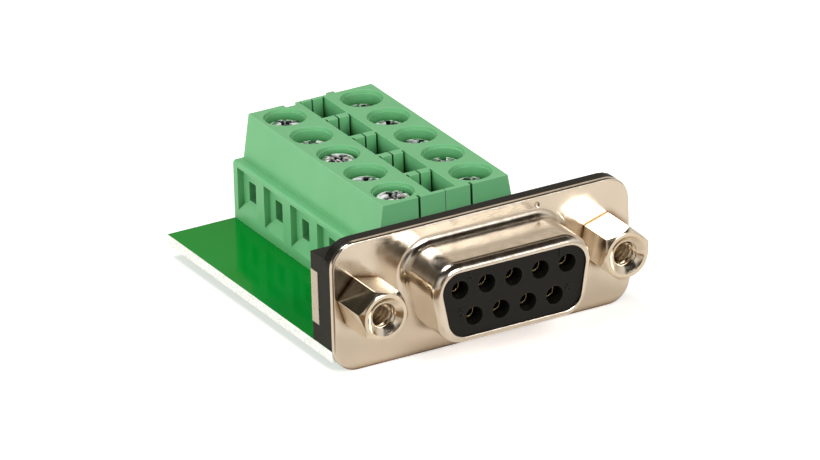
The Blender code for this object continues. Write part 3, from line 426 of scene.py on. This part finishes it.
# %% Black polyester
black_plastic, tree, shader, where = finish("glass_filled_polyester", 0.5, IOR=1.57, Specular_IOR_Level=0.2)
speckle = add(tree, "ShaderNodeTexNoise", inputs={"Vector": where, "Scale": marks(0.1), "Detail": 3.0})
dark = add(tree, "ShaderNodeMix", COLOUR, {0: speckle, 6: "#0A0B08", 7: "#131410"})
# The edges are painted a paler grey: a painted highlight.
painted_edge_highlight = add(tree, "ShaderNodeMath", MULTIPLY, {0: edges(tree, 0.1), 1: 0.4})
painted_light = add(tree, "ShaderNodeMix", COLOUR, {0: painted_edge_highlight, 6: dark, 7: "#4A4A42"})
gloss = add(tree, "ShaderNodeMapRange", inputs={"Value": speckle, **MIDDLE, "To Min": 0.42, "To Max": 0.58})
cover(tree, shader, painted_light, gloss, speckle, 5)
print("finish:", black_plastic.name)

# %% [markdown]
# ### Small metals
# The contacts are bronze with a flash of gold, the cages are nickel plated, the brackets and pins are
# tinned, and the pins' ends sit in solder. They are all small and half hidden, so one function makes a
# plain metal with a grain in two tones, and only the tones and the roughness differ.

# %% Contacts, cages, brackets, pins and solder
def small_metal(name, dark, pale, roughness, grain_mm, depth_um):
    """A plain metal for small pieces: two tones in grains, and uneven gloss."""
    made, tree, shader, where = finish(name, roughness, 1.0)
    grain = add(tree, "ShaderNodeTexNoise", inputs={"Vector": where, "Scale": marks(grain_mm), "Detail": 3.0})
    tone = add(tree, "ShaderNodeMix", COLOUR, {0: grain, 6: dark, 7: pale})
    ends = {"To Min": roughness * 0.7, "To Max": roughness * 1.3}
    gloss = add(tree, "ShaderNodeMapRange", inputs={"Value": grain, **MIDDLE, **ends})
    cover(tree, shader, tone, gloss, grain, depth_um)
    print("finish:", name)
    return made


gold = small_metal("gold_flashed_bronze", "#7A6A48", "#9C8C66", 0.25, 0.3, 1)
cage_nickel = small_metal("nickel_plated_cage", "#B9B4AA", "#E2DED6", 0.25, 0.4, 2)
strip_steel = small_metal("tinned_steel", "#C9C2B6", "#E3DDD2", 0.32, 0.6, 2)
tin = small_metal("tinned_brass", "#BDB8AC", "#E4E0D6", 0.3, 0.5, 2)
solder = small_metal("solder", "#B4B6B8", "#E6E8EA", 0.22, 0.6, 3)

# %% [markdown]
# ## Solids that keep their shape
# A moulding or a sawn board has no razor edge. Its solid is welded, its flat faces are joined again, and a
# narrow bevel rounds every edge. Weighted normals keep the large faces flat, so that only the edge catches
# light.

# %% Round the edges of a kept solid
SAME_POINT = 0.0005 * MM
FLAT_ANGLE, EDGE_ANGLE = math.radians(0.5), math.radians(30)


def soften(node, material, edge_mm, segments=2):
    """Gives a kept solid its finish and rounded edges."""
    thing = nodes[node]
    thing.data.materials.clear()
    thing.data.materials.append(material)
    weld = thing.modifiers.new("weld", "WELD")
    weld.merge_threshold = SAME_POINT
    flat = thing.modifiers.new("flat", "DECIMATE")
    flat.decimate_type = "DISSOLVE"
    flat.angle_limit = FLAT_ANGLE
    bevel = thing.modifiers.new("bevel", "BEVEL")
    bevel.width = edge_mm * MM
    bevel.segments = segments
    bevel.limit_method = "ANGLE"
    bevel.angle_limit = EDGE_ANGLE
    bevel.use_clamp_overlap = True
    bevel.face_strength_mode = "FSTR_AFFECTED"
    for face in thing.data.polygons:
        face.use_smooth = True
    weigh = thing.modifiers.new("weigh", "WEIGHTED_NORMAL")
    weigh.use_face_influence = True
    return thing


SIDES = ("left", "right")
POLES = range(1, 6)
for side_name in SIDES:
    soften(f"terminal_housing_{side_name}", polyamide, 0.07)
    soften(f"ground_bracket_{side_name}", strip_steel, 0.05)
    for n in POLES:
        soften(f"wire_cage_{side_name}_{n}", cage_nickel, 0.04)
        soften(f"terminal_pin_{side_name}_{n}", tin, 0.04)
for n in range(1, 10):
    soften(f"socket_contact_{n}", gold, 0.03, 1)
soften("connector_body", black_plastic, 0.05)
soften("tail_spacer", black_plastic, 0.05)
soften("circuit_board", solder_mask, 0.03, 1)
print("kept solids:", sum(1 for o in nodes.values() if o.modifiers))

# %% [markdown]
# ## Front shell
# The flange and the D-shaped shroud are one sheet of steel, drawn in a press. Here one skin runs round it:
# up the edge of the flange, over its face, out along the shroud through a rounded foot, round the lip, and
# back inside. Every ring has as many points as the last, so a mirror finish flows over it without kinks.

# %% Outlines with round corners
def rounded(corners, radius, steps):
    """Arcs round each corner's centre, for a convex outline given anticlockwise."""
    points = []
    for i, corner in enumerate(corners):
        before = Vector(corner) - Vector(corners[i - 1])
        start = math.atan2(before.y, before.x) - math.pi / 2
        after = Vector(corners[(i + 1) % len(corners)]) - Vector(corner)
        end = math.atan2(after.y, after.x) - math.pi / 2
        if end < start:
            end += 2 * math.pi
        for k in range(steps + 1):
            turn = start + (end - start) * k / steps
            points.append((corner[0] + radius * math.cos(turn), corner[1] + radius * math.sin(turn)))
    return points


CORNER_STEPS = 16
CENTRE_Z = 6.73 * MM
FLANGE_CORNER = 2.4 * MM
SHROUD_HALF_WIDTH, SHROUD_HALF_HEIGHT = 8.165 * MM, 3.95 * MM
SHROUD_CORNER, SHROUD_SLOPE = 2.6 * MM, math.radians(10)


def flange_outline(offset):
    x, low, high = FLANGE_HALF - FLANGE_CORNER, FLANGE_CORNER, FLANGE_HEIGHT - FLANGE_CORNER
    return rounded([(-x, low), (x, low), (x, high), (-x, high)], FLANGE_CORNER + offset, CORNER_STEPS)


def shroud_outline(offset):
    up = SHROUD_HALF_HEIGHT - SHROUD_CORNER
    top = SHROUD_HALF_WIDTH - SHROUD_CORNER
    bottom = top - 2 * up * math.tan(SHROUD_SLOPE)
    low, high = CENTRE_Z - up, CENTRE_Z + up
    corners = [(-bottom, low), (bottom, low), (top, high), (-top, high)]
    return rounded(corners, SHROUD_CORNER + offset, CORNER_STEPS)


def quarter(steps):
    """Sine and cosine along a quarter turn."""
    return [(math.sin(math.pi / 2 * i / steps), math.cos(math.pi / 2 * i / steps)) for i in range(steps + 1)]


print("points in an outline:", len(flange_outline(0)))

# %% Skins and pieces
def skin(body, rings, closed=False):
    """Faces through rings of equal length: capped at both ends, or closed from the last to the first."""
    rows = [[body.verts.new(point) for point in ring] for ring in rings]
    count = len(rows[0])
    pairs = list(zip(rows, rows[1:] + rows[:1])) if closed else list(zip(rows, rows[1:]))
    for one, two in pairs:
        for i in range(count):
            j = (i + 1) % count
            body.faces.new((one[i], one[j], two[j], two[i]))
    if not closed:
        body.faces.new(rows[0][::-1])
        body.faces.new(rows[-1])


def piece(name, body, material=None):
    """A mesh object from a body, with its faces turned outwards."""
    bmesh.ops.recalc_face_normals(body, faces=body.faces)
    mesh = bpy.data.meshes.new(name)
    body.to_mesh(mesh)
    body.free()
    made = bpy.data.objects.new(name, mesh)
    bpy.context.scene.collection.objects.link(made)
    if material:
        mesh.materials.append(material)
    return made


def carve(target, tool, operation="DIFFERENCE"):
    """Cuts the tool out of the target, or joins or crosses them, and removes the tool."""
    change = target.modifiers.new("carve", "BOOLEAN")
    change.operation = operation
    change.object = tool
    graph = bpy.context.evaluated_depsgraph_get()
    mesh = bpy.data.meshes.new_from_object(target.evaluated_get(graph))
    target.modifiers.clear()
    target.data = mesh
    bpy.data.objects.remove(tool)
    return target


def lathe(centre, axis, profile, steps, start=0.0):
    """A turned skin: profile holds (radius, distance along the axis), with axis Y or Z through centre."""
    rings = []
    for radius, along in profile:
        ring = []
        for i in range(steps):
            turn = start + 2 * math.pi * i / steps
            reach = radius(turn, along) if callable(radius) else radius
            a, b = reach * math.cos(turn), reach * math.sin(turn)
            ring.append(Vector(centre) + (Vector((a, b, along)) if axis == "Z" else Vector((a, along, b))))
        rings.append(ring)
    body = bmesh.new()
    skin(body, rings)
    return body


def smooth(thing, angle=35):
    """Smooth shading with sharp edges above an angle, and large faces kept flat."""
    for face in thing.data.polygons:
        face.use_smooth = True
    thing.data.set_sharp_from_angle(angle=math.radians(angle))
    weigh = thing.modifiers.new("weigh", "WEIGHTED_NORMAL")
    weigh.keep_sharp = True
    return thing


print("helpers ready")

# %% Front shell
SHEET_EDGE = 0.22 * MM
SHROUD_FOOT, SHROUD_WALL = 0.8 * MM, 0.45 * MM
LIP_LENGTH, LIP_INSET, LIP_FACE = 1.0 * MM, 0.72 * MM, 0.05 * MM
LIP_BLUNT, LIP_THICK = 0.03 * MM, 0.24 * MM

rings = [(flange_outline(0), SHELL_BACK), (flange_outline(0), FLANGE_FRONT + SHEET_EDGE)]
for rise, lean in quarter(6)[1:]:
    rings.append((flange_outline(-SHEET_EDGE * (1 - lean)), FLANGE_FRONT + SHEET_EDGE * (1 - rise)))
for rise, lean in quarter(10):
    rings.append((shroud_outline(SHROUD_FOOT * (1 - rise)), FLANGE_FRONT - SHROUD_FOOT * (1 - lean)))
for rise, lean in quarter(12):
    rings.append((shroud_outline(-LIP_INSET * (1 - lean)), SHELL_FRONT + LIP_LENGTH * (1 - rise)))
rings.append((shroud_outline(-LIP_INSET - LIP_FACE), SHELL_FRONT + LIP_BLUNT))
rings.append((shroud_outline(-LIP_INSET - LIP_FACE), SHELL_FRONT + LIP_THICK))
rings.append((shroud_outline(-SHROUD_WALL), SHELL_FRONT + LIP_LENGTH))
rings.append((shroud_outline(-SHROUD_WALL), SHELL_BACK))
body = bmesh.new()
skin(body, [[Vector((x, y, z)) for x, z in outline] for outline, y in rings], closed=True)
shell = piece("shell", body)

JACK_X = 12.495 * MM
STUD_HOLE = 1.52 * MM
for way in (-1, 1):
    through = [(STUD_HOLE, FLANGE_FRONT - SHEET), (STUD_HOLE, SHELL_BACK + SHEET)]
    carve(shell, piece("hole", lathe((way * JACK_X, 0, CENTRE_Z), "Y", through, 32)))
DIMPLE = (5.8 * MM, 0, CENTRE_Z + 4.95 * MM)
DENT_RADIUS, DENT_DEPTH = 0.3 * MM, 0.12 * MM
dent = [(DENT_RADIUS, FLANGE_FRONT - SHEET), (DENT_RADIUS, FLANGE_FRONT)]
dent += [(DENT_RADIUS / 2, FLANGE_FRONT + DENT_DEPTH)]
carve(shell, piece("dent", lathe(DIMPLE, "Y", dent, 20)))
shell.data.materials.clear()
shell.data.materials.append(shell_nickel)
smooth(shell)
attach(shell, "adapter")
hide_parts("connector_front_shell")
print("shell faces:", len(shell.data.polygons))

# %% [markdown]
# ## Contact numbers
# The mould stands four small numbers up from the plastic face, beside the contacts at the ends of both
# rows. A text curve is thick enough once it is extruded, and it sinks a little into the face that it
# belongs to.

# %% Contact numbers
NOSE_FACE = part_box("connector_body")[0].y
DIGIT_SIZE, DIGIT_RAISED = 1.25 * MM, 0.08 * MM
DIGITS = (("1", 4.85, 9.35), ("5", -4.4, 9.25), ("6", 5.6, 5.7), ("9", -5.45, 5.85))
for digit, x, z in DIGITS:
    curve = bpy.data.curves.new("digit", "FONT")
    curve.body, curve.size = digit, DIGIT_SIZE
    curve.align_x, curve.align_y = "CENTER", "CENTER"
    curve.extrude, curve.resolution_u = DIGIT_RAISED, 3
    text = bpy.data.objects.new("text", curve)
    mesh = bpy.data.meshes.new_from_object(text)
    mesh.transform(Matrix.Translation((x * MM, NOSE_FACE, z * MM)) @ Matrix.Rotation(math.pi / 2, 4, "X"))
    mesh.materials.clear()
    mesh.materials.append(black_plastic)
    raised = bpy.data.objects.new(f"digit_{digit}", mesh)
    bpy.context.scene.collection.objects.link(raised)
    bpy.data.objects.remove(text)
    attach(raised, "adapter")
print("the plastic face is at", round(NOSE_FACE / MM, 2), "mm")

# %% [markdown]
# ## Jackscrews
# A jackscrew is turned from hexagon bar. Both ends of the bar are chamfered, so its front face is a round
# ring about the mouth of a threaded bore, and a threaded stud behind holds the connector together. Crossing
# the bar with a turned cone gives the chamfer its curved edges. The thread is a real helix: the radius of
# each ring depends on how far it is along the screw and on the angle.

# %% Threads
def thread(base, depth, pitch, low, high, per_turn=14):
    """Profile rows of a helix between two places on the axis: depth is added to base at its crests."""
    def reach(turn, along):
        return base + depth * (0.5 + 0.5 * math.cos(2 * math.pi * along / pitch - turn))
    count = max(2, int((high - low) / pitch * per_turn))
    return [(reach, low + (high - low) * i / count) for i in range(count + 1)]


UNC_PITCH, UNC_DEPTH = 25.4 / 40 * MM, 0.2 * MM
BORE_DEPTH = 3.9 * MM
print("rows along the bore:", len(thread(1, 0, UNC_PITCH, 0, BORE_DEPTH)))

# %% Jackscrews
HEX_FLAT = 4.5 / 2 * MM
HEX_CORNER = HEX_FLAT / math.cos(math.radians(30))
CONTACT_GAP, JACK_LENGTH = 0.02 * MM, 4.45 * MM
HEX_BACK = FLANGE_FRONT - CONTACT_GAP
TIP = HEX_BACK - JACK_LENGTH
FACE, MOUTH, BORE, STUD = 2.2 * MM, 1.8 * MM, 1.3 * MM, 1.4 * MM
FACE_EDGE, HEX_EDGE, MOUTH_EDGE = 0.06 * MM, 0.08 * MM, 0.03 * MM
CHAMFER_LENGTH, CHAMFER_RISE = 0.47 * MM, HEX_CORNER - FACE
MOUTH_DEPTH, MOUTH_FLARE, BORE_RIM, RUN_IN, PAST = 0.45 * MM, 0.14 * MM, 0.02 * MM, 0.05 * MM, 0.1 * MM
STUD_THREAD, STUD_POINT, STUD_TAPER = 1.2 * MM, 0.25 * MM, 0.35 * MM
JACK_TURN = {"left": -12.5, "right": 16.5}
for side_name, way in zip(SIDES, (-1, 1)):
    place = Vector((way * JACK_X, 0, CENTRE_Z))
    centre = HEX_CORNER - HEX_EDGE / math.cos(math.radians(30))
    turns = [math.radians(JACK_TURN[side_name] + 60 * i) for i in range(6)]
    hexagon = rounded([(centre * math.cos(a), centre * math.sin(a)) for a in turns], HEX_EDGE, 4)
    body = bmesh.new()
    skin(body, [[place + Vector((x, y, z)) for x, z in hexagon] for y in (TIP - CHAMFER_LENGTH, HEX_BACK)])
    bar = piece("bar", body)
    cone = [
        (FACE - FACE_EDGE, TIP),
        (FACE, TIP + FACE_EDGE * 0.6),
        (FACE + 2 * CHAMFER_RISE, TIP + 2 * CHAMFER_LENGTH),
        (FACE + 2 * CHAMFER_RISE, HEX_BACK - CHAMFER_LENGTH / 2),
        (FACE + CHAMFER_RISE / 2, HEX_BACK + PAST / 2),
    ]
    carve(bar, piece("cone", lathe(place, "Y", cone, 96)), "INTERSECT")
    hole = [(MOUTH + MOUTH_FLARE, TIP - PAST), (MOUTH, TIP + MOUTH_EDGE)]
    hole += [(BORE + BORE_RIM, TIP + MOUTH_DEPTH)]
    hole += thread(BORE - UNC_DEPTH, UNC_DEPTH, UNC_PITCH, TIP + MOUTH_DEPTH + RUN_IN, TIP + BORE_DEPTH)
    carve(bar, piece("bore", lathe(place, "Y", hole, 64)))
    stud_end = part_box(f"jackscrew_{side_name}")[1].y
    thread_start, thread_end = stud_end - STUD_THREAD + RUN_IN, stud_end - STUD_POINT
    stud = [(STUD, HEX_BACK - 2 * PAST), (STUD, stud_end - STUD_THREAD)]
    stud += thread(STUD - UNC_DEPTH, UNC_DEPTH, UNC_PITCH, thread_start, thread_end)
    stud += [(STUD - STUD_TAPER, stud_end)]
    carve(bar, piece("stud", lathe(place, "Y", stud, 48)), "UNION")
    bar.name = f"jackscrew_{side_name}_bright"
    bar.data.materials.clear()
    bar.data.materials.append(bright_nickel)
    smooth(bar, 30)
    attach(bar, "adapter")
    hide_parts(f"jackscrew_{side_name}")
    print(bar.name, len(bar.data.polygons), "faces")

# %% [markdown]
# ## Clamp screws
# Each terminal has an M2.5 screw with a slightly domed head, and a slot and a cross in it, so that either
# driver fits. All ten are alike, so one mesh is made and shared. Each object rides on its own body and
# turns with it, and each was left at an angle of its own.

# %% One clamp screw
HEAD_RADIUS, SHANK_RADIUS = 1.58 * MM, 1.2 * MM
low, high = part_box("clamp_screw_left_1")
SCREW_TOP, SCREW_TIP = high.z, low.z
HEAD_THICK, DOME = 0.95 * MM, 4.0 * MM
M25_PITCH, M25_DEPTH, PLAIN = 0.45 * MM, 0.14 * MM, 0.2 * MM
ROUND, POINT, NECK, UNDER_EDGE = 0.22 * MM, 0.3 * MM, 0.1 * MM, 0.06 * MM
top = SCREW_TOP - SCREW_TIP
seat = top - HEAD_THICK
profile = [(SHANK_RADIUS - POINT, 0.0)]
profile += thread(SHANK_RADIUS - M25_DEPTH, M25_DEPTH, M25_PITCH, PLAIN, seat - PLAIN, 6)
profile += [(SHANK_RADIUS - NECK, seat), (HEAD_RADIUS - UNDER_EDGE, seat), (HEAD_RADIUS, seat + UNDER_EDGE)]
rim = top - (HEAD_RADIUS - ROUND) ** 2 / (2 * DOME)
profile += [(HEAD_RADIUS - ROUND * (1 - lean), rim - ROUND * (1 - rise)) for rise, lean in quarter(5)]
profile += [(r * MM, top - (r * MM) ** 2 / (2 * DOME)) for r in (1.1, 0.8, 0.5, 0.25, 0.05)]
screw = piece("clamp_screw", lathe((0, 0, 0), "Z", profile, 48))


def bar_cutter(half_x, half_y, depth, taper):
    """A block with sloping walls that cuts a slot into the top of the screw."""
    body = bmesh.new()
    rings = []
    for z, grow in ((top - depth, -taper), (top + depth, taper)):
        x, y = half_x + grow, half_y + grow
        rings.append([Vector(p) for p in ((-x, -y, z), (x, -y, z), (x, y, z), (-x, y, z))])
    skin(body, rings)
    return piece("cutter", body)


SLOT_DEPTH, SLOT_HALF, CROSS_HALF, CROSS_REACH = 0.5 * MM, 0.31 * MM, 0.25 * MM, 1.15 * MM
carve(screw, bar_cutter(2 * HEAD_RADIUS, SLOT_HALF, SLOT_DEPTH, 0.02 * MM))
carve(screw, bar_cutter(CROSS_HALF, CROSS_REACH, SLOT_DEPTH, 0.1 * MM))
screw.data.materials.clear()
screw.data.materials.append(zinc)
bevel = screw.modifiers.new("bevel", "BEVEL")
bevel.width, bevel.segments, bevel.limit_method = 0.04 * MM, 2, "ANGLE"
bevel.angle_limit = math.radians(40)
smooth(screw, 30)
print("screw faces:", len(screw.data.polygons))

# %% Ten clamp screws
FIRST_TURN, NEXT_TURN = 15, 47
for side_name, way in zip(SIDES, (-1, 1)):
    for n in POLES:
        node = f"clamp_screw_{side_name}_{n}"
        low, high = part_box(node)
        made = screw.copy()
        made.name = f"{node}_zinc"
        bpy.context.scene.collection.objects.link(made)
        made.location = ((low.x + high.x) / 2, (low.y + high.y) / 2, low.z)
        made.rotation_euler.z = math.radians(NEXT_TURN * (n - 1) * way + FIRST_TURN)
        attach(made, node)
        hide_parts(node)
bpy.data.objects.remove(screw)

# %% [markdown]
# ## Solder
# Under the board every pin ends in a small cone of solder that has crept up it. They are turned skins with
# a hollow slope, all in one piece.

# %% Solder cones
BOARD_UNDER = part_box("circuit_board")[0].z
PIN_FOOT, TAIL_FOOT, CONE_TIP, CONE_HEIGHT = 1.05 * MM, 0.8 * MM, 0.34 * MM, 0.6 * MM
PIN_INSET, TAIL_INSET, COLLAR, SUNK = 0.4 * MM, 0.3 * MM, 0.03 * MM, 0.02 * MM
CONE_ROWS, CONE_STEPS = 6, 20
cones = bmesh.new()
places = []
for side_name in SIDES:
    for n in POLES:
        low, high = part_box(f"terminal_pin_{side_name}_{n}")
        inner = low.x if side_name == "right" else high.x
        inset = PIN_INSET if side_name == "right" else -PIN_INSET
        places.append((inner + inset, (low.y + high.y) / 2, PIN_FOOT))
for n in range(1, 10):
    low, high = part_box(f"socket_contact_{n}")
    places.append(((low.x + high.x) / 2, high.y - TAIL_INSET, TAIL_FOOT))
for x, y, foot in places:
    rows = [(foot, BOARD_UNDER + SUNK), (foot, BOARD_UNDER - COLLAR)]
    for share in (i / CONE_ROWS for i in range(1, CONE_ROWS + 1)):
        radius = foot + (CONE_TIP - foot) * (1 - (1 - share) ** 2)
        rows.append((radius, BOARD_UNDER - COLLAR - CONE_HEIGHT * share ** 1.5))
    angles = [2 * math.pi * i / CONE_STEPS for i in range(CONE_STEPS)]
    skin(cones, [[Vector((x + r * math.cos(a), y + r * math.sin(a), z)) for a in angles] for r, z in rows])
cones = piece("solder_cones", cones, solder)
smooth(cones, 40)
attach(cones, "adapter")
print("solder cones:", len(places))
